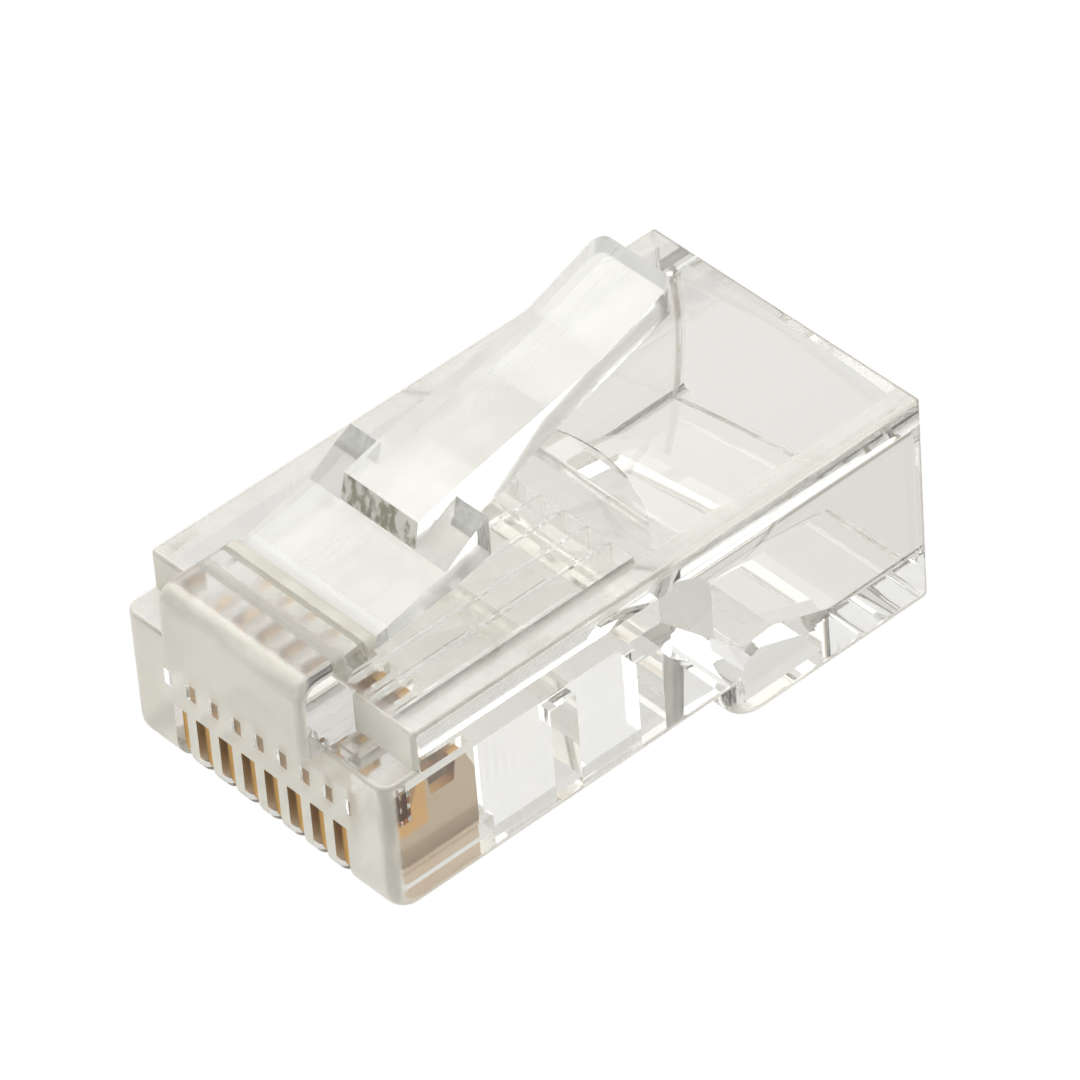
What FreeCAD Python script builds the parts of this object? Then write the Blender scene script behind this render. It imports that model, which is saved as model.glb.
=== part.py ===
import FreeCAD, Part
import math
import os

# Millimetres. +X across the plug, +Y from nose to cable end, +Z up (latch side).
# Depths are measured back from the nose front, heights from the lowest face of the plug.

# Overall
WIDTH = 11.68
BODY_LENGTH = 21.66
ROOT_REACH = 0.75
FRONT_HEIGHT = 6.65
REAR_DROP = 1.54
REAR_START = 13.35

# Planes that follow from them
HALF = WIDTH / 2.0
REAR_Y = (BODY_LENGTH + ROOT_REACH) / 2.0
NOSE_Y = REAR_Y - BODY_LENGTH
BASE_Z = REAR_DROP
DECK_Z = FRONT_HEIGHT + REAR_DROP

# Edge rounding
NOSE_BOTTOM_R = 1.0
LOWER_EDGE_R = 0.5
STEP_EDGE_R = 0.2
DECK_EDGE_R = 0.15
REAR_BOTTOM_R = 1.4

# Front ledges and the latch root between them
LEDGE_DEPTH = 1.23
LEDGE_RISE = 5.2
LEDGE_Z = BASE_Z + LEDGE_RISE
ROOT_HALF = 3.2
ROOT_RISE = 1.45
ROOT_TOP = DECK_Z + ROOT_RISE
ROOT_TOP_R = 0.7
ROOT_CORNER_R = 0.3
UNDERCUT_DEPTH = 1.1

# Contact blades and their slots
POSITIONS = 8
PITCH = 1.02
BLADE_THICK = 0.35
TOE_FRONT = 0.2
BLADE_FRONT = 1.6
BLADE_REAR = 4.1
BLADE_INSET = 0.03
BLADE_HEIGHT = 3.67
TINE_HEIGHT = 0.75
TINE_FRONT_SLOPE = 0.3
TINE_REAR_SLOPE = 0.3
NOTCH_FRONT = 2.3
NOTCH_REAR = 3.4
NOTCH_SLOPE = 0.1
BLADE_NOSE_R = 0.9
TOE_GAP = 0.05
BLADE_BOTTOM = BASE_Z + BLADE_INSET
BLADE_TOP = BLADE_BOTTOM + BLADE_HEIGHT
BLADE_SHOULDER = BLADE_TOP - TINE_HEIGHT
BLADE_GAP = 0.01
SLOT_WIDTH = 0.6
SLOT_DEPTH = 1.1
SLOT_HEIGHT = 2.5
SLOT_LAP = 0.3
GROOVE_END = 4.6
GROOVE_HEIGHT = 0.7
SLOT_TOP = BASE_Z + SLOT_HEIGHT

# Conductor channels
CHANNEL_WIDTH = 0.92
CHANNEL_HEIGHT = 0.94
CHANNEL_RISE = 4.3
CHANNEL_Z = BASE_Z + CHANNEL_RISE
CHANNEL_START = 0.65
CHANNEL_LAP = 0.3

# Cable cavity, its funnel and the strain relief bar across its floor
CAVITY_HALF = 5.0
CAVITY_FLOOR = 1.64
CAVITY_CROWN = DECK_Z - 1.05
CAVITY_ARCH_R = 22.0
CAVITY_TOP_R = 0.8
CAVITY_FLOOR_R = 0.4
MOUTH_R = 0.5
FUNNEL_HALF = 4.1
FUNNEL_FRONT = 11.5
FUNNEL_SIDE_END = 13.2
FUNNEL_ROOF_RISE = 0.3
FUNNEL_END = 13.77
FUNNEL_END_R = 6.2
RELIEF_TOP = ((14.35, 2.74), (15.55, 2.84), (18.85, CAVITY_FLOOR))

# Windows in the underside in front of and behind the conductor clamp bar
WINDOW_HALF = 4.2
WINDOW_FRONT = (6.95, 8.0, 3.3)
WINDOW_REAR = (10.4, 11.4, 2.9)

# Hollow under the strain relief bar
HOLLOW_HALF = 3.9
HOLLOW_PROFILE = ((14.7, -0.5), (14.7, 1.5), (15.4, 1.75), (17.9, 0.85), (17.9, -0.5))

# Latch, with heights above the deck
HINGE_D = 2.5
HINGE_R = 0.25
HINGE_GAP = 0.05
HINGE_Z = DECK_Z + 1.05
PLATE_HALF = 3.01
LEVER_HALF = 1.63
LATCH_END_R = 0.45
PLATE_TOP = ((2.75, 1.34), (5.25, 1.94), (7.0, 2.35))
PLATE_UNDER = ((7.0, 1.55), (5.45, 1.16), (2.8, 0.83))
EAR_PROFILE = ((5.25, 1.61), (5.25, 1.94), (6.45, 2.71), (7.0, 2.97), (7.0, 1.61))
LEVER_TOP = ((5.2, 1.61), (5.5, 2.86), (6.96, 3.28), (11.2, 4.16), (13.0, 4.55), (15.95, 5.69))
LEVER_UNDER = ((16.0, 4.69), (13.1, 3.71), (11.1, 3.09), (8.5, 1.94), (7.0, 1.55), (6.0, 1.31))


def at(depth):
    """Y of a plane this far behind the nose front."""
    return NOSE_Y + depth


def over_deck(points):
    """Points of (depth, height above the deck) as (depth, z)."""
    return [(depth, DECK_Z + height) for depth, height in points]


def arc(centre, radius, start_deg, end_deg):
    """Start, marked middle and end of an arc in (depth, z)."""
    points = []
    for angle in (start_deg, (start_deg + end_deg) / 2.0, end_deg):
        turn = math.radians(angle)
        points.append((centre[0] + radius * math.cos(turn), centre[1] + radius * math.sin(turn)))
    points[1] = points[1] + ("mid",)
    return points


def outline(points, place):
    """Closed wire; a point marked as a middle makes an arc through it."""
    edges = []
    index = 0
    while index < len(points):
        here = place(points[index])
        after = points[(index + 1) % len(points)]
        if len(after) == 3:
            last = place(points[(index + 2) % len(points)])
            edges.append(Part.Arc(here, place(after), last).toShape())
            index += 2
        else:
            edges.append(Part.makeLine(here, place(after)))
            index += 1
    return Part.Wire(edges)


def slab(points, x_low, x_high):
    """Solid with a side profile of (depth, z) points between two X planes."""
    wire = outline(points, lambda p: FreeCAD.Vector(x_low, at(p[0]), p[1]))
    return Part.Face(wire).extrude(FreeCAD.Vector(x_high - x_low, 0, 0))


def tube(points, d_low, d_high):
    """Solid with a front profile of (x, z) points between two depths."""
    wire = outline(points, lambda p: FreeCAD.Vector(p[0], at(d_low), p[1]))
    return Part.Face(wire).extrude(FreeCAD.Vector(0, d_high - d_low, 0))


def block(x_low, x_high, d_low, d_high, z_low, z_high):
    """Box given by X, depth and Z ranges."""
    corner = FreeCAD.Vector(x_low, at(d_low), z_low)
    return Part.makeBox(x_high - x_low, d_high - d_low, z_high - z_low, corner)


def middle(edge):
    """Point halfway along an edge."""
    return edge.valueAt((edge.FirstParameter + edge.LastParameter) / 2.0)


def rounded(solid, radius, wanted):
    """Fillet the edges whose middle point passes a test."""
    return solid.makeFillet(radius, [edge for edge in solid.Edges if wanted(middle(edge))])


def same(first, second):
    """Whether two coordinates agree."""
    return abs(first - second) < 1e-4


def contact_x(index):
    """Centre plane of contact 1 to 8."""
    return (index - (POSITIONS + 1) / 2.0) * PITCH


def body_profile():
    """Side profile of the moulding without the latch root."""
    nose = arc((NOSE_BOTTOM_R, BASE_Z + NOSE_BOTTOM_R), NOSE_BOTTOM_R, 180, 270)
    drop = [(REAR_START, BASE_Z)] + arc((REAR_START + REAR_BOTTOM_R, REAR_BOTTOM_R), REAR_BOTTOM_R, 180, 270)
    top = [(BODY_LENGTH, 0.0), (BODY_LENGTH, DECK_Z), (LEDGE_DEPTH, DECK_Z)]
    ledge = [(LEDGE_DEPTH, LEDGE_Z), (0.0, LEDGE_Z)]
    return nose + drop + top + ledge


def outer_body():
    """Outside of the moulding with its rounded edges."""
    body = slab(body_profile(), -HALF, HALF)
    step_y = at(LEDGE_DEPTH)

    def lower_edges(mid):
        upright = same(mid.y, NOSE_Y) and mid.z < LEDGE_Z - 0.5
        under = mid.z < BASE_Z + NOSE_BOTTOM_R / 2.0 and mid.y < REAR_Y - 0.1
        return same(abs(mid.x), HALF) and (upright or under)

    def step_edges(mid):
        return same(abs(mid.x), HALF) and same(mid.y, step_y)

    def upper_edges(mid):
        side = same(abs(mid.x), HALF) and same(mid.z, DECK_Z)
        front = same(mid.y, step_y) and same(mid.z, DECK_Z)
        ledge = same(mid.y, NOSE_Y) and same(mid.z, LEDGE_Z)
        rear = same(mid.y, REAR_Y) and mid.z > LOWER_EDGE_R
        return side or front or ledge or rear

    body = rounded(body, LOWER_EDGE_R, lower_edges)
    body = rounded(body, STEP_EDGE_R, step_edges)
    return rounded(body, DECK_EDGE_R, upper_edges)


def latch_root():
    """Upright block between the ledges that carries the latch, with the seat of its hinge."""
    top = arc((ROOT_TOP_R - ROOT_REACH, ROOT_TOP - ROOT_TOP_R), ROOT_TOP_R, 180, 90)
    under_z = HINGE_Z - HINGE_R
    half_gap = (under_z - DECK_Z) / 2.0
    undercut = arc((UNDERCUT_DEPTH + half_gap, DECK_Z + half_gap), half_gap, 90, 270)
    profile = [(-ROOT_REACH, LEDGE_Z)] + top
    profile += [(HINGE_D - 0.25, ROOT_TOP), (HINGE_D, HINGE_Z + HINGE_R), (HINGE_D, HINGE_Z)]
    profile += [(HINGE_D - 0.2, under_z)] + undercut + [(UNDERCUT_DEPTH + half_gap, LEDGE_Z)]
    root = slab(profile, -ROOT_HALF, ROOT_HALF)

    def front_corners(mid):
        return same(abs(mid.x), ROOT_HALF) and same(mid.y, at(-ROOT_REACH))

    def top_sides(mid):
        return same(abs(mid.x), ROOT_HALF) and same(mid.z, ROOT_TOP)

    root = rounded(root, ROOT_CORNER_R, lambda mid: front_corners(mid) or top_sides(mid))
    seat_axis = FreeCAD.Vector(-ROOT_HALF - 1.0, at(HINGE_D), HINGE_Z)
    along = FreeCAD.Vector(1, 0, 0)
    return root.cut(Part.makeCylinder(HINGE_R + HINGE_GAP, 2 * ROOT_HALF + 2.0, seat_axis, along))


def cavity_tube():
    """Arched bore of the cable cavity."""
    side_z = CAVITY_CROWN - CAVITY_ARCH_R + math.sqrt(CAVITY_ARCH_R ** 2 - CAVITY_HALF ** 2)
    section = [(-CAVITY_HALF, CAVITY_FLOOR), (CAVITY_HALF, CAVITY_FLOOR), (CAVITY_HALF, side_z)]
    section += [(0.0, CAVITY_CROWN, "mid"), (-CAVITY_HALF, side_z)]
    bore = tube(section, FUNNEL_FRONT, BODY_LENGTH + 1.0)

    def upper(mid):
        return same(abs(mid.x), CAVITY_HALF) and same(mid.z, side_z)

    def lower(mid):
        return same(abs(mid.x), CAVITY_HALF) and same(mid.z, CAVITY_FLOOR)

    return rounded(rounded(bore, CAVITY_TOP_R, upper), CAVITY_FLOOR_R, lower)


def cavity():
    """Cable cavity, open at the rear, with a funnel whose roof ends in a curved step."""
    far = BODY_LENGTH + 2.0
    low = CHANNEL_Z - CHANNEL_HEIGHT / 2.0
    high = CHANNEL_Z + CHANNEL_HEIGHT / 2.0
    roof_end = FUNNEL_FRONT + (DECK_Z - high) / FUNNEL_ROOF_RISE
    below = [(far, DECK_Z), (far, CAVITY_FLOOR)] + list(reversed(RELIEF_TOP))
    funnel_view = [(FUNNEL_FRONT, low), (FUNNEL_FRONT, high), (roof_end, DECK_Z)] + below
    open_view = [(FUNNEL_FRONT, low), (FUNNEL_FRONT, DECK_Z)] + below
    plan = [(-FUNNEL_HALF, FUNNEL_FRONT), (FUNNEL_HALF, FUNNEL_FRONT), (CAVITY_HALF, FUNNEL_SIDE_END)]
    plan += [(CAVITY_HALF, far), (-CAVITY_HALF, far), (-CAVITY_HALF, FUNNEL_SIDE_END)]
    floor = outline(plan, lambda p: FreeCAD.Vector(p[0], at(p[1]), 0.0))
    column = Part.Face(floor).extrude(FreeCAD.Vector(0, 0, DECK_Z))
    end_axis = FreeCAD.Vector(0.0, at(FUNNEL_END - FUNNEL_END_R), 0.0)
    bore = cavity_tube().common(column)
    rear = bore.common(slab(open_view, -HALF, HALF)).cut(Part.makeCylinder(FUNNEL_END_R, DECK_Z, end_axis))
    return rear.fuse(bore.common(slab(funnel_view, -HALF, HALF))).removeSplitter()


def mouth_lip():
    """What the rounding takes off the floor's rear edge."""
    round_off = arc((BODY_LENGTH - MOUTH_R, CAVITY_FLOOR - MOUTH_R), MOUTH_R, 0, 90)
    half = CAVITY_HALF - CAVITY_FLOOR_R
    corner = [(BODY_LENGTH - MOUTH_R, CAVITY_FLOOR + MOUTH_R), (BODY_LENGTH + 1.0, CAVITY_FLOOR + MOUTH_R)]
    corner += [(BODY_LENGTH + 1.0, CAVITY_FLOOR - MOUTH_R)]
    return slab(round_off + corner, -half, half)


def channel(index):
    """Square channel for one conductor."""
    x = contact_x(index)
    half = CHANNEL_WIDTH / 2.0
    low = CHANNEL_Z - CHANNEL_HEIGHT / 2.0
    return block(x - half, x + half, CHANNEL_START, FUNNEL_FRONT + CHANNEL_LAP, low, low + CHANNEL_HEIGHT)


def contact_slot(index):
    """Open slot at the nose, the groove behind it and the narrow slot that holds the blade."""
    x = contact_x(index)
    wide = SLOT_WIDTH / 2.0
    half = BLADE_THICK / 2.0 + BLADE_GAP
    under = BASE_Z - 1.0
    d_high = BLADE_REAR + BLADE_GAP
    opening = block(x - wide, x + wide, -1.0, SLOT_DEPTH, under, SLOT_TOP)
    groove = block(x - wide, x + wide, -1.0, GROOVE_END, under, BASE_Z + GROOVE_HEIGHT)
    lower = block(x - half, x + half, SLOT_DEPTH - SLOT_LAP, d_high, under, SLOT_TOP)
    upper = block(x - half, x + half, BLADE_FRONT - BLADE_GAP, d_high, SLOT_TOP - SLOT_LAP, CHANNEL_Z)
    return [opening, groove, lower, upper]


def underside_windows():
    """Pockets that leave the conductor clamp bar standing between them."""
    pockets = []
    for d_low, d_high, height in (WINDOW_FRONT, WINDOW_REAR):
        pockets.append(block(-WINDOW_HALF, WINDOW_HALF, d_low, d_high, -1.0, BASE_Z + height))
    return pockets


def housing():
    """The clear moulding without its latch."""
    body = outer_body().fuse(latch_root())
    cuts = [cavity(), mouth_lip(), slab(HOLLOW_PROFILE, -HOLLOW_HALF, HOLLOW_HALF)] + underside_windows()
    for index in range(1, POSITIONS + 1):
        cuts.append(channel(index))
        cuts += contact_slot(index)
    for piece in cuts:
        body = body.cut(piece)
    return body.removeSplitter()


def latch():
    """Latch tab: plate, two locking ears and the finger lever."""
    barrel = [(HINGE_D, HINGE_Z - HINGE_R), (HINGE_D - HINGE_R, HINGE_Z, "mid"), (HINGE_D, HINGE_Z + HINGE_R)]
    whole = slab(barrel + over_deck(PLATE_TOP + PLATE_UNDER), -PLATE_HALF, PLATE_HALF)
    whole = whole.fuse(slab(over_deck(LEVER_TOP + LEVER_UNDER), -LEVER_HALF, LEVER_HALF))
    for side in (-1, 1):
        low, high = sorted((side * LEVER_HALF, side * PLATE_HALF))
        whole = whole.fuse(slab(over_deck(EAR_PROFILE), low, high))
    whole = whole.removeSplitter()

    def tip_corners(mid):
        tip_d, tip_z = over_deck(LEVER_TOP)[-1]
        return same(abs(mid.x), LEVER_HALF) and mid.y > at(tip_d - LATCH_END_R) and mid.z > tip_z - 1.0

    return rounded(whole, LATCH_END_R, tip_corners)


def contact(index):
    """Gold-plated blade: a toe in the open slot and two piercing tines above it."""
    x = contact_x(index)
    toe_top = SLOT_TOP - TOE_GAP
    nose_centre = (TOE_FRONT + BLADE_NOSE_R, BLADE_BOTTOM + BLADE_NOSE_R)
    nose = [(TOE_FRONT, toe_top)] + arc(nose_centre, BLADE_NOSE_R, 180, 270)
    right = [(BLADE_REAR, BLADE_BOTTOM), (BLADE_REAR, BLADE_SHOULDER)]
    right += [(BLADE_REAR - TINE_REAR_SLOPE, BLADE_TOP)]
    notch = [(NOTCH_REAR, BLADE_TOP), (NOTCH_REAR - NOTCH_SLOPE, BLADE_SHOULDER)]
    notch += [(NOTCH_FRONT + NOTCH_SLOPE, BLADE_SHOULDER), (NOTCH_FRONT, BLADE_TOP)]
    left = [(BLADE_FRONT + TINE_FRONT_SLOPE, BLADE_TOP), (BLADE_FRONT, BLADE_SHOULDER)]
    left += [(BLADE_FRONT, toe_top)]
    return slab(nose + right + notch + left, x - BLADE_THICK / 2.0, x + BLADE_THICK / 2.0)


def write(name, shape):
    """Save one piece as STEP."""
    if len(shape.Solids) == 1:
        shape = shape.Solids[0]
    print(name, shape.ShapeType, shape.isValid(), round(shape.Volume, 3))
    shape.exportStep("parts/%s.step" % name)


os.makedirs("parts", exist_ok=True)
write("housing", housing())
write("latch", latch())
for number in range(1, POSITIONS + 1):
    write("contact_%d" % number, contact(number))
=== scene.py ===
"""A clear modular plug for network cable: one moulded body and latch, with gold-plated contacts."""
import math

import bpy
from mathutils import Matrix, Vector


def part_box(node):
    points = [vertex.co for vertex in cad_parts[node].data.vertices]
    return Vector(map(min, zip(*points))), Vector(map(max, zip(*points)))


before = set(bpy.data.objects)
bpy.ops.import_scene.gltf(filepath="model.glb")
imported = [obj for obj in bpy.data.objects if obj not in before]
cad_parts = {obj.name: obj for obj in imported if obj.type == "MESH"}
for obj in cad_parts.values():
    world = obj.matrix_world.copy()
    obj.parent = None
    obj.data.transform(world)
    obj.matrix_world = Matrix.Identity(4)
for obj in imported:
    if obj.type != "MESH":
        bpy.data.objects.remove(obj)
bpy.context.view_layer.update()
scene = bpy.context.scene

MM = 0.001
CONTACTS = ["contact_%d" % number for number in range(1, 9)]

# Where the camera stands, in degrees and metres
AZIMUTH = 50.53
ELEVATION = 41.68
ROLL = 4.61
DISTANCE = 0.26362
LENS_MM = 293.9
SENSOR_MM = 36.0
CLIP_START = 0.01
CLIP_END = 10.0
AIM = Vector((0.0, 0.0001, 0.00484))
AIM_RIGHT = 0.00054
AIM_UP = 0.00094

# Planes of the moulding, from the frame and the plug's own sizes
PLUG_LOW, PLUG_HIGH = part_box("housing")
BLADE_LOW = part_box("contact_1")[0]
SIDE = PLUG_HIGH.x
REAR = PLUG_HIGH.y
NOSE_FRONT = PLUG_LOW.y + 0.75 * MM
BASE = BLADE_LOW.z - 0.03 * MM
DECK = BASE + 6.65 * MM
LEDGE_TOP = BASE + 5.2 * MM
STEP_FRONT = NOSE_FRONT + 5.2 * MM
STEP_REAR = NOSE_FRONT + 7.0 * MM
HINGE_END = NOSE_FRONT + 2.9 * MM

# How softly one finish passes into the next: half the width of the change
SHARP_FADE = 0.02 * MM
CRISP_FADE = 0.05 * MM
SOFT_FADE = 0.1 * MM
WIDE_FADE = 0.15 * MM

# How squarely a face looks one way, from 0 to 1, and the fade each side of that
SQUARE = 0.8
SQUARE_FADE = 0.1
FRONTAL = 0.225
FRONTAL_FADE = 0.175
SLANT = 0.13
SLANT_FADE = 0.07
LATCH_UP = 0.75
LATCH_UP_FADE = 0.15

# Matt finish of the nose, with a row of small clear windows at the fins, a little to one side
MATT_DEPTH = 0.6 * MM
RISER_DEPTH = 1.5 * MM
WINDOW_LOW = BASE + 3.2 * MM
WINDOW_TOP = BASE + 3.78 * MM
WINDOW_WIDTH = 0.42 * MM
WINDOW_ROW_HALF = 4.15 * MM
WINDOW_SHIFT = 0.1 * MM
PITCH = 1.02 * MM

# Haze on the rounded outer edges, on the strips beside the deck and round the latch's seat
EDGE_BAND = 0.55 * MM
STRIP_BAND = 0.85 * MM
STRIP_SHARE = 0.5
RIM_HEIGHT = 0.4 * MM
RIM_BAND = 0.15 * MM
SEAT_LOW = BASE + 6.85 * MM
SEAT_FRONT = NOSE_FRONT + 1.95 * MM

# Haze on the upward faces, strongest on the latch root
TOP_LOW = BASE + 5.05 * MM
DECK_HAZE_END = NOSE_FRONT + 9.5 * MM
DECK_HAZE_FADE = 2.5 * MM
ROOT_HAZE_END = NOSE_FRONT + 1.65 * MM
ROOT_ROUGH = 0.17
ROOT_CLEARNESS = 0.8

# Painted shade: a brown line along the rear edges, standing in for the dark that the rounded edges
# refract
OUTLINE_BAND = 0.12 * MM
OUTLINE_DEPTH = 0.125 * MM
OUTLINE_FADE = 0.075 * MM

# Scale of each pattern in the surface, and how many layers of finer detail it has
POLISH_GRAIN = (300.0, 2.0)
DECK_GRAIN = (900.0, 2.0)
MATT_GRAIN = (1800.0, 3.0)
CLOUD_GRAIN = (1300.0, 4.0)
BRUSH_GRAIN = (2500.0, 3.0)
STREAK_GRAIN = (1400.0, 2.0)
MOTTLE_GRAIN = (3200.0, 4.0)
BRONZE_GRAIN = (700.0, 3.0)
STAMPED_GRAIN = (1500.0, 3.0)

# Scale of a pattern along each axis: below 1 it is drawn out
EVEN = (1.0, 1.0, 1.0)
BRUSH_STRETCH = (1.0, 0.06, 0.06)
STREAK_STRETCH = (1.0, 0.03, 0.03)
MOTTLE_STRETCH = (1.0, 1.0, 0.5)
STAMPED_STRETCH = (1.0, 0.15, 1.0)

# Roughness from the smoothest to the roughest spot of each finish
POLISH_ROUGH = (0.0, 0.005)
DECK_ROUGH = (0.04, 0.07)
MATT_ROUGH = (0.29, 0.34)
BRUSH_ROUGH = (0.12, 0.25)
BRONZE_ROUGH = (0.29, 0.42)

# Finishes
PLASTIC_IOR = 1.585
BODY_TINT = (0.985, 0.98, 0.955, 1.0)
BODY_CLEARNESS = 0.975
MATT_TINT = (1.0, 0.972, 0.87, 1.0)
MATT_CLEARNESS = 0.42
MATT_CLOUDS = 0.25
# brown painted shade for the line along the rear edges
REAR_EDGE_SHADE_TINT = (0.36, 0.28, 0.2, 1.0)
LATCH_TINT = (0.985, 0.98, 0.95, 1.0)
LATCH_CLEARNESS = (0.66, 0.86)
LATCH_EDGE_CLEARNESS = 0.97
LATCH_EDGE_ROUGH = 0.02
HINGE_ROUGH = 0.3
STEP_ROUGH = 0.3
STEP_CLEARNESS = 0.6
MOTTLE = 0.48
MOTTLE_FADE = 0.08
# painted shade in patches on the end faces round the latch's step, over the pale frost below
STEP_PAINTED_SHADE = (0.27, 0.27, 0.18, 1.0)
STEP_PALE = (0.93, 0.93, 0.85, 1.0)
BRONZE_DARK = (0.70, 0.54, 0.38, 1.0)
BRONZE_PALE = (0.84, 0.69, 0.52, 1.0)
PLATED_FACE = (0.95, 0.56, 0.17, 1.0)
PLATED_EDGE = (0.84, 0.52, 0.19, 1.0)
PLATED_LOW = BASE + 2.0 * MM
PLATED_DEPTH = 2.2 * MM

# Pale table that glows near the plug, which rests on it nose down
FLOOR_HALF = 0.6
FLOOR_DROP = 0.03 * MM
FLOOR_SEEN = (1.0, 1.0, 1.0, 1.0)
POOL_TONE = (1.0, 0.99, 0.965, 1.0)
POOL_NEAR = 0.04
POOL_FAR = 0.16
POOL_BRIGHT = 0.74
POOL_DIM = 0.42
NOSE_TOUCH = Vector((0.0, NOSE_FRONT + 1.0 * MM, BASE))
REAR_TOUCH = Vector((0.0, NOSE_FRONT + 14.6 * MM, PLUG_LOW.z))

# Studio round the plug: tones by height, a bright panel behind on the left, the dim side of the viewer
SKY_HORIZON = (0.36, 0.31, 0.26, 1.0)
SKY_LOW = (0.84, 0.835, 0.82, 1.0)
SKY_HIGH = (1.0, 1.0, 0.99, 1.0)
SKY_SEEN = (1.0, 1.0, 1.0, 1.0)
LOW_RISE = (0.02, 0.24)
HIGH_RISE = (0.45, 0.8)
PANEL_TONE = (1.35, 1.35, 1.34, 1.0)
PANEL_AZIMUTH = -141.0
PANEL_ELEVATION = 35.0
PANEL_SPREAD = (40.0, 22.0)
VIEWER_TONE = (0.4, 0.4, 0.4, 1.0)
VIEWER_SPREAD = (45.0, 15.0)

# Small soft light on the left, in degrees, metres and watts
KEY_AZIMUTH = -88.0
KEY_ELEVATION = 55.0
KEY_DISTANCE = 0.35
KEY_SIZE = 0.14
KEY_POWER = 0.17

# How often light may pass or bounce inside the clear plastic
MOST_BOUNCES = 32
GLOSSY_BOUNCES = 12


# ---------------------------------------------------------------- shader helpers

def new_material(name):
    """Empty node material with its tree."""
    material = bpy.data.materials.new(name)
    material.use_nodes = True
    tree = material.node_tree
    tree.nodes.clear()
    return material, tree


def add(tree, kind, **settings):
    """Shader node with its properties set."""
    node = tree.nodes.new(kind)
    for name, value in settings.items():
        setattr(node, name, value)
    return node


def noise(tree, grain, stretch=EVEN):
    """Noise on object coordinates, stretched along the axes."""
    scale, detail = grain
    place = add(tree, "ShaderNodeTexCoord")
    mapping = add(tree, "ShaderNodeMapping")
    mapping.inputs["Scale"].default_value = stretch
    tree.links.new(place.outputs["Object"], mapping.inputs["Vector"])
    texture = add(tree, "ShaderNodeTexNoise")
    texture.inputs["Scale"].default_value = scale
    texture.inputs["Detail"].default_value = detail
    tree.links.new(mapping.outputs["Vector"], texture.inputs["Vector"])
    return texture.outputs["Fac"]


def ranged(tree, value, low, high):
    """Maps a 0 to 1 value to a range."""
    node = add(tree, "ShaderNodeMapRange")
    node.inputs["To Min"].default_value = low
    node.inputs["To Max"].default_value = high
    tree.links.new(value, node.inputs["Value"])
    return node.outputs["Result"]


def axis(tree, output, letter):
    """One component of a texture coordinate."""
    place = add(tree, "ShaderNodeTexCoord")
    split = add(tree, "ShaderNodeSeparateXYZ")
    tree.links.new(place.outputs[output], split.inputs["Vector"])
    return split.outputs[letter]


def step(tree, value, low, high):
    """0 below low and 1 above high, or the other way round where low is the greater."""
    node = add(tree, "ShaderNodeMapRange", interpolation_type="SMOOTHSTEP")
    node.inputs["From Min"].default_value = low
    node.inputs["From Max"].default_value = high
    tree.links.new(value, node.inputs["Value"])
    return node.outputs["Result"]


def beyond(tree, value, limit, fade):
    """1 where a value is past a limit."""
    return step(tree, value, limit - fade, limit + fade)


def within(tree, value, limit, fade):
    """1 where a value is short of a limit."""
    return step(tree, value, limit + fade, limit - fade)


def combined(tree, operation, values):
    """Values joined by a math operation, in turn."""
    result = values[0]
    for value in values[1:]:
        node = add(tree, "ShaderNodeMath", operation=operation)
        tree.links.new(result, node.inputs[0])
        tree.links.new(value, node.inputs[1])
        result = node.outputs["Value"]
    return result


def all_of(tree, *masks):
    """Where every mask holds."""
    return combined(tree, "MULTIPLY", masks)


def any_of(tree, *masks):
    """Where at least one mask holds."""
    return combined(tree, "MAXIMUM", masks)


def size_of(tree, value):
    """Value without its sign."""
    node = add(tree, "ShaderNodeMath", operation="ABSOLUTE")
    tree.links.new(value, node.inputs[0])
    return node.outputs["Value"]


def from_row(tree, value, pitch, shift):
    """Distance to the nearest of a row of even places."""
    moved = add(tree, "ShaderNodeMath", operation="SUBTRACT")
    moved.inputs[1].default_value = shift
    tree.links.new(value, moved.inputs[0])
    folded = add(tree, "ShaderNodeMath", operation="PINGPONG")
    folded.inputs[1].default_value = pitch / 2.0
    tree.links.new(moved.outputs["Value"], folded.inputs[0])
    return folded.outputs["Value"]


def mixed(tree, kind, mask, first, second):
    """Between two values or sockets by a mask."""
    node = add(tree, "ShaderNodeMix", data_type=kind)
    tree.links.new(mask, node.inputs["Factor"])
    for name, value in (("A", first), ("B", second)):
        if isinstance(value, bpy.types.NodeSocket):
            tree.links.new(value, node.inputs[name])
        else:
            node.inputs[name].default_value = value
    return node.outputs["Result"]


def blended(tree, mask, low, high):
    """Between two numbers by a mask."""
    return mixed(tree, "FLOAT", mask, low, high)


def tinted(tree, mask, first, second):
    """Between two colours by a mask."""
    return mixed(tree, "RGBA", mask, first, second)


def finish(tree, shader):
    """Connect a shader to the material output."""
    output = add(tree, "ShaderNodeOutputMaterial")
    tree.links.new(shader.outputs[0], output.inputs["Surface"])


class Spot:
    """Where a point of a piece lies, and how squarely it faces the sides, the ends and up or down."""

    def __init__(self, tree):
        self.sideways = axis(tree, "Object", "X")
        self.along = axis(tree, "Object", "Y")
        self.height = axis(tree, "Object", "Z")
        self.across = size_of(tree, self.sideways)
        self.to_side = size_of(tree, axis(tree, "Normal", "X"))
        self.to_end = size_of(tree, axis(tree, "Normal", "Y"))
        self.to_top = size_of(tree, axis(tree, "Normal", "Z"))


def squarely(tree, facing):
    """1 on faces that look nearly straight one way."""
    return beyond(tree, facing, SQUARE, SQUARE_FADE)


# ---------------------------------------------------------------- clear moulding

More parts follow.
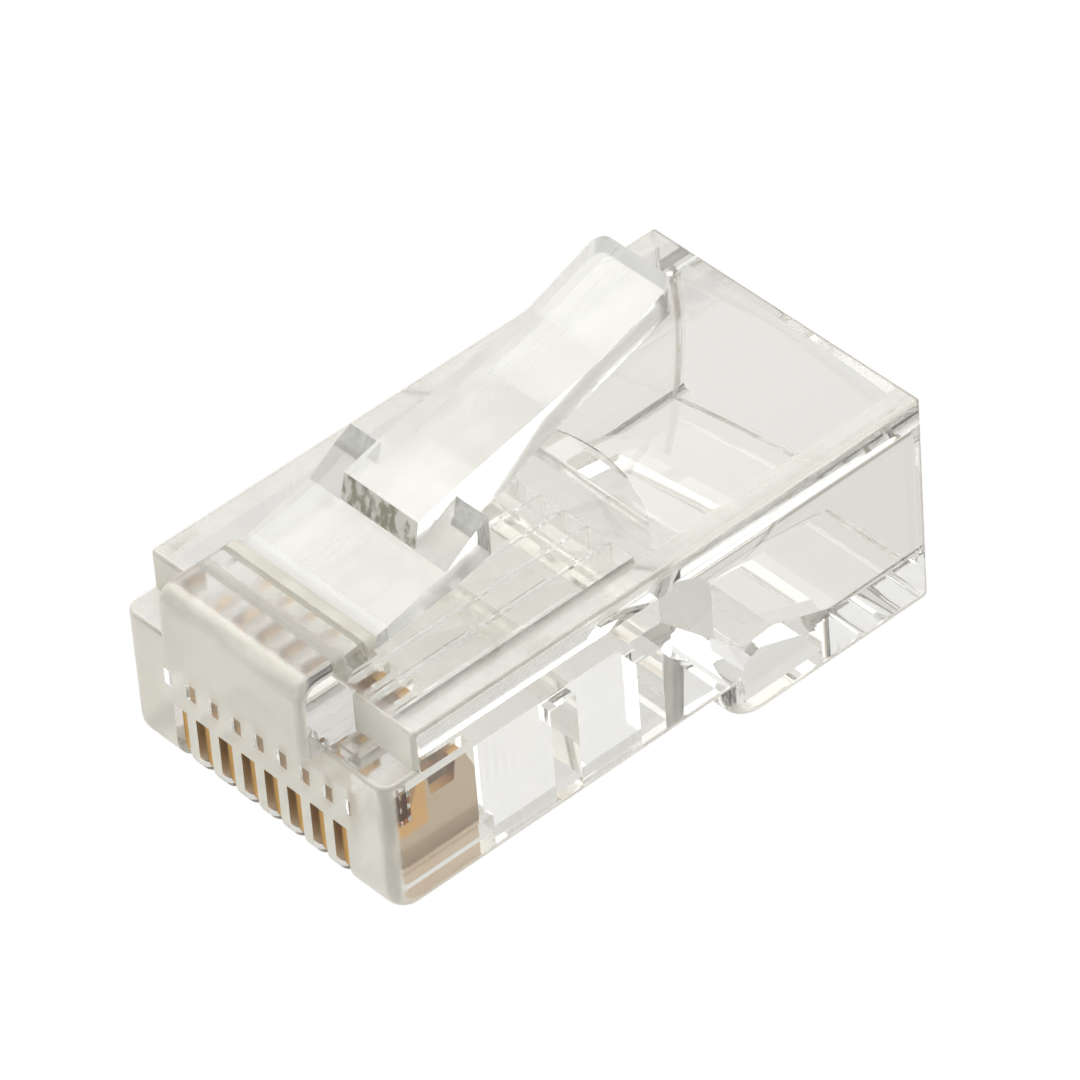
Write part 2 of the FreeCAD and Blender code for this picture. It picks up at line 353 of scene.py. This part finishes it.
def nose_matt(tree, spot):
    """Front faces of the nose, apart from the windows, and the wall above the ledges."""
    front = beyond(tree, spot.to_end, FRONTAL, FRONTAL_FADE)
    nose = within(tree, spot.along, NOSE_FRONT + MATT_DEPTH, SOFT_FADE)
    middle = from_row(tree, spot.sideways, PITCH, WINDOW_SHIFT)
    walls = any_of(tree, beyond(tree, spot.height, WINDOW_TOP, SHARP_FADE),
                   within(tree, spot.height, WINDOW_LOW, SHARP_FADE),
                   beyond(tree, spot.across, WINDOW_ROW_HALF, SHARP_FADE),
                   beyond(tree, middle, WINDOW_WIDTH / 2.0, SHARP_FADE))
    riser = all_of(tree, beyond(tree, spot.height, LEDGE_TOP, SHARP_FADE),
                   within(tree, spot.along, NOSE_FRONT + RISER_DEPTH, SOFT_FADE))
    return all_of(tree, front, any_of(tree, riser, all_of(tree, nose, walls)))


def rounded_edges(tree, spot):
    """Slanting faces of the long outer edges."""
    slant = all_of(tree, spot.to_side, spot.to_top)
    return all_of(tree, beyond(tree, slant, SLANT, SLANT_FADE),
                  beyond(tree, spot.across, SIDE - EDGE_BAND, CRISP_FADE))


def side_strips(tree, spot, top):
    """Upper faces over the side walls and the top of each side, partly hazed."""
    over_wall = all_of(tree, top, beyond(tree, spot.across, SIDE - STRIP_BAND, SOFT_FADE))
    rim = all_of(tree, squarely(tree, spot.to_side),
                 beyond(tree, spot.height, DECK - RIM_HEIGHT, CRISP_FADE),
                 beyond(tree, spot.across, SIDE - RIM_BAND, CRISP_FADE))
    return ranged(tree, any_of(tree, over_wall, rim), 0.0, STRIP_SHARE)


def latch_seat(tree, spot):
    """Root's faces round the latch's hinge."""
    return all_of(tree, beyond(tree, spot.height, SEAT_LOW, CRISP_FADE),
                  beyond(tree, spot.along, SEAT_FRONT, CRISP_FADE))


def rear_edge_shade_line(tree, spot):
    """Thin line of painted shade along the top and side edges of the rear face."""
    corner = any_of(tree, beyond(tree, spot.height, DECK - OUTLINE_BAND, SHARP_FADE),
                    beyond(tree, spot.across, SIDE - OUTLINE_BAND, SHARP_FADE))
    return all_of(tree, corner, beyond(tree, spot.along, REAR - OUTLINE_DEPTH, OUTLINE_FADE))


def clear_moulding():
    """Clear plastic with the mould's matt finish on the nose and edges, a haze on the top and a brown
    line of painted shade along the rear edges.
    """
    material, tree = new_material("clear_moulding")
    shader = add(tree, "ShaderNodeBsdfPrincipled")
    shader.inputs["IOR"].default_value = PLASTIC_IOR
    spot = Spot(tree)
    top = all_of(tree, squarely(tree, spot.to_top), beyond(tree, spot.height, TOP_LOW, CRISP_FADE))
    matt = any_of(tree, nose_matt(tree, spot), rounded_edges(tree, spot), side_strips(tree, spot, top),
                  latch_seat(tree, spot))
    deck = all_of(tree, top, within(tree, spot.along, DECK_HAZE_END, DECK_HAZE_FADE))
    root = all_of(tree, top, within(tree, spot.along, ROOT_HAZE_END, WIDE_FADE))
    rough = ranged(tree, noise(tree, POLISH_GRAIN), *POLISH_ROUGH)
    rough = blended(tree, deck, rough, ranged(tree, noise(tree, DECK_GRAIN), *DECK_ROUGH))
    rough = blended(tree, root, rough, ROOT_ROUGH)
    rough = blended(tree, matt, rough, ranged(tree, noise(tree, MATT_GRAIN), *MATT_ROUGH))
    tree.links.new(rough, shader.inputs["Roughness"])
    clouds = noise(tree, CLOUD_GRAIN)
    clouds = ranged(tree, clouds, MATT_CLEARNESS - MATT_CLOUDS, MATT_CLEARNESS + MATT_CLOUDS)
    through = blended(tree, matt, blended(tree, root, BODY_CLEARNESS, ROOT_CLEARNESS), clouds)
    tree.links.new(through, shader.inputs["Transmission Weight"])
    colour = tinted(tree, matt, BODY_TINT, MATT_TINT)
    # brown painted shade along the rear edges, in place of the dark edge refraction
    colour = tinted(tree, rear_edge_shade_line(tree, spot), colour, REAR_EDGE_SHADE_TINT)
    tree.links.new(colour, shader.inputs["Base Color"])
    finish(tree, shader)
    return material


# ---------------------------------------------------------------- latch

def clear_latch():
    """Clear plastic with a brushed finish on top, a matt root and end faces round the step patched
    with painted shade over a pale frost.
    """
    material, tree = new_material("clear_latch")
    shader = add(tree, "ShaderNodeBsdfPrincipled")
    shader.inputs["IOR"].default_value = PLASTIC_IOR
    spot = Spot(tree)
    up = beyond(tree, axis(tree, "Normal", "Z"), LATCH_UP, LATCH_UP_FADE)
    stepped = all_of(tree, squarely(tree, spot.to_end),
                     within(tree, spot.along, STEP_REAR + WIDE_FADE, WIDE_FADE),
                     beyond(tree, spot.along, STEP_FRONT - WIDE_FADE, WIDE_FADE))
    hinge = within(tree, spot.along, HINGE_END, SOFT_FADE)
    # patches of painted shade over a pale frost on the end faces round the step
    mottle = beyond(tree, noise(tree, MOTTLE_GRAIN, MOTTLE_STRETCH), MOTTLE, MOTTLE_FADE)
    patchy_shade = tinted(tree, mottle, STEP_PAINTED_SHADE, STEP_PALE)
    tree.links.new(tinted(tree, stepped, LATCH_TINT, patchy_shade), shader.inputs["Base Color"])
    brushed = ranged(tree, noise(tree, BRUSH_GRAIN, BRUSH_STRETCH), *BRUSH_ROUGH)
    rough = blended(tree, hinge, blended(tree, up, LATCH_EDGE_ROUGH, brushed), HINGE_ROUGH)
    tree.links.new(blended(tree, stepped, rough, STEP_ROUGH), shader.inputs["Roughness"])
    streaks = ranged(tree, noise(tree, STREAK_GRAIN, STREAK_STRETCH), *LATCH_CLEARNESS)
    frost = blended(tree, hinge, blended(tree, up, LATCH_EDGE_CLEARNESS, streaks), MATT_CLEARNESS)
    tree.links.new(blended(tree, stepped, frost, STEP_CLEARNESS), shader.inputs["Transmission Weight"])
    finish(tree, shader)
    return material


# ---------------------------------------------------------------- contacts

def contact_metal():
    """Stamped bronze, gold-plated on its edges and on the upper front of its sides."""
    material, tree = new_material("gold_contact")
    shader = add(tree, "ShaderNodeBsdfPrincipled")
    shader.inputs["Metallic"].default_value = 1.0
    spot = Spot(tree)
    bronze = tinted(tree, noise(tree, BRONZE_GRAIN), BRONZE_DARK, BRONZE_PALE)
    plated = all_of(tree, beyond(tree, spot.height, PLATED_LOW, SOFT_FADE),
                    within(tree, spot.along, NOSE_FRONT + PLATED_DEPTH, SOFT_FADE))
    face = tinted(tree, plated, bronze, PLATED_FACE)
    tree.links.new(tinted(tree, spot.to_side, PLATED_EDGE, face), shader.inputs["Base Color"])
    marks = noise(tree, STAMPED_GRAIN, STAMPED_STRETCH)
    tree.links.new(ranged(tree, marks, *BRONZE_ROUGH), shader.inputs["Roughness"])
    finish(tree, shader)
    return material


# ---------------------------------------------------------------- finishes on the frame

def paint(node_names, material):
    """Give CAD nodes their finish."""
    for name in node_names:
        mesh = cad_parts[name].data
        mesh.materials.clear()
        mesh.materials.append(material)


# ---------------------------------------------------------------- floor, light and camera

def heading(azimuth, elevation):
    """Unit vector away from the plug, azimuth 0 in front of the nose."""
    a, e = math.radians(azimuth), math.radians(elevation)
    return Vector((math.sin(a) * math.cos(e), -math.cos(a) * math.cos(e), math.sin(e)))


def pale_table():
    """White to the camera, and a pool of light that fades outwards to everything else."""
    material, tree = new_material("pale_table")
    seen = add(tree, "ShaderNodeEmission")
    seen.inputs["Color"].default_value = FLOOR_SEEN
    place = add(tree, "ShaderNodeTexCoord")
    far = add(tree, "ShaderNodeVectorMath", operation="LENGTH")
    tree.links.new(place.outputs["Object"], far.inputs[0])
    fall = add(tree, "ShaderNodeMapRange", interpolation_type="SMOOTHSTEP")
    fall.inputs["From Min"].default_value = POOL_NEAR
    fall.inputs["From Max"].default_value = POOL_FAR
    fall.inputs["To Min"].default_value = POOL_BRIGHT
    fall.inputs["To Max"].default_value = POOL_DIM
    tree.links.new(far.outputs["Value"], fall.inputs["Value"])
    glow = add(tree, "ShaderNodeEmission")
    glow.inputs["Color"].default_value = POOL_TONE
    tree.links.new(fall.outputs["Result"], glow.inputs["Strength"])
    path = add(tree, "ShaderNodeLightPath")
    choice = add(tree, "ShaderNodeMixShader")
    tree.links.new(path.outputs["Is Camera Ray"], choice.inputs["Fac"])
    tree.links.new(glow.outputs["Emission"], choice.inputs[1])
    tree.links.new(seen.outputs["Emission"], choice.inputs[2])
    finish(tree, choice)
    return material


def floor():
    """Pale table under the plug, along the line from its nose to its rear step."""
    slope = (REAR_TOUCH - NOSE_TOUCH).normalized()
    side = Vector((1.0, 0.0, 0.0))
    up = side.cross(slope).normalized()
    centre = (NOSE_TOUCH + REAR_TOUCH) / 2.0 - up * FLOOR_DROP
    corners = []
    for along, across in ((-1, -1), (1, -1), (1, 1), (-1, 1)):
        corners.append(tuple(centre + side * along * FLOOR_HALF + slope * across * FLOOR_HALF))
    mesh = bpy.data.meshes.new("floor")
    mesh.from_pydata(corners, [], [(0, 1, 2, 3)])
    mesh.materials.append(pale_table())
    table = bpy.data.objects.new("floor", mesh)
    scene.collection.objects.link(table)


def patch(tree, base, tone, direction, spread):
    """Colour with another tone in a soft round patch of the sky, by its outer and inner radius."""
    place = add(tree, "ShaderNodeTexCoord")
    towards = add(tree, "ShaderNodeVectorMath", operation="DOT_PRODUCT")
    towards.inputs[1].default_value = direction
    tree.links.new(place.outputs["Generated"], towards.inputs[0])
    outer, inner = [math.cos(math.radians(radius)) for radius in spread]
    return tinted(tree, step(tree, towards.outputs["Value"], outer, inner), base, tone)


def sky():
    """Soft studio all round: dim at the horizon, bright above, dark where the viewer stands."""
    world = bpy.data.worlds.new("studio")
    scene.world = world
    world.use_nodes = True
    tree = world.node_tree
    tree.nodes.clear()
    height = axis(tree, "Generated", "Z")
    low = tinted(tree, step(tree, height, *LOW_RISE), SKY_HORIZON, SKY_LOW)
    high = tinted(tree, step(tree, height, *HIGH_RISE), low, SKY_HIGH)
    panel = patch(tree, high, PANEL_TONE, heading(PANEL_AZIMUTH, PANEL_ELEVATION), PANEL_SPREAD)
    studio = patch(tree, panel, VIEWER_TONE, heading(AZIMUTH, ELEVATION), VIEWER_SPREAD)
    path = add(tree, "ShaderNodeLightPath")
    background = add(tree, "ShaderNodeBackground")
    backdrop = tinted(tree, path.outputs["Is Camera Ray"], studio, SKY_SEEN)
    tree.links.new(backdrop, background.inputs["Color"])
    output = add(tree, "ShaderNodeOutputWorld")
    tree.links.new(background.outputs["Background"], output.inputs["Surface"])


def key_light():
    """Square soft light that faces the plug."""
    data = bpy.data.lights.new("key", "AREA")
    data.shape = "SQUARE"
    data.size = KEY_SIZE
    data.energy = KEY_POWER
    light = bpy.data.objects.new("key", data)
    away = heading(KEY_AZIMUTH, KEY_ELEVATION)
    light.location = AIM + away * KEY_DISTANCE
    light.rotation_mode = "QUATERNION"
    light.rotation_quaternion = (-away).to_track_quat("-Z", "Y")
    scene.collection.objects.link(light)


def camera():
    """Long lens from the front right, above the plug."""
    data = bpy.data.cameras.new("camera")
    data.sensor_width = SENSOR_MM
    data.lens = LENS_MM
    data.clip_start = CLIP_START
    data.clip_end = CLIP_END
    a, e, r = math.radians(AZIMUTH), math.radians(ELEVATION), math.radians(ROLL)
    level_right = Vector((math.cos(a), math.sin(a), 0.0))
    level_up = Vector((-math.sin(e) * math.sin(a), math.sin(e) * math.cos(a), math.cos(e)))
    back = heading(AZIMUTH, ELEVATION)
    right = level_right * math.cos(r) - level_up * math.sin(r)
    up = level_right * math.sin(r) + level_up * math.cos(r)
    eye = bpy.data.objects.new("camera", data)
    turn = Matrix((right, up, back)).transposed().to_4x4()
    turn.translation = AIM + right * AIM_RIGHT + up * AIM_UP + back * DISTANCE
    eye.matrix_world = turn
    scene.collection.objects.link(eye)
    scene.camera = eye


paint(["housing"], clear_moulding())
paint(["latch"], clear_latch())
paint(CONTACTS, contact_metal())
floor()
sky()
key_light()
camera()
scene.view_settings.view_transform = "Standard"
scene.cycles.max_bounces = MOST_BOUNCES
scene.cycles.transmission_bounces = MOST_BOUNCES
scene.cycles.glossy_bounces = GLOSSY_BOUNCES
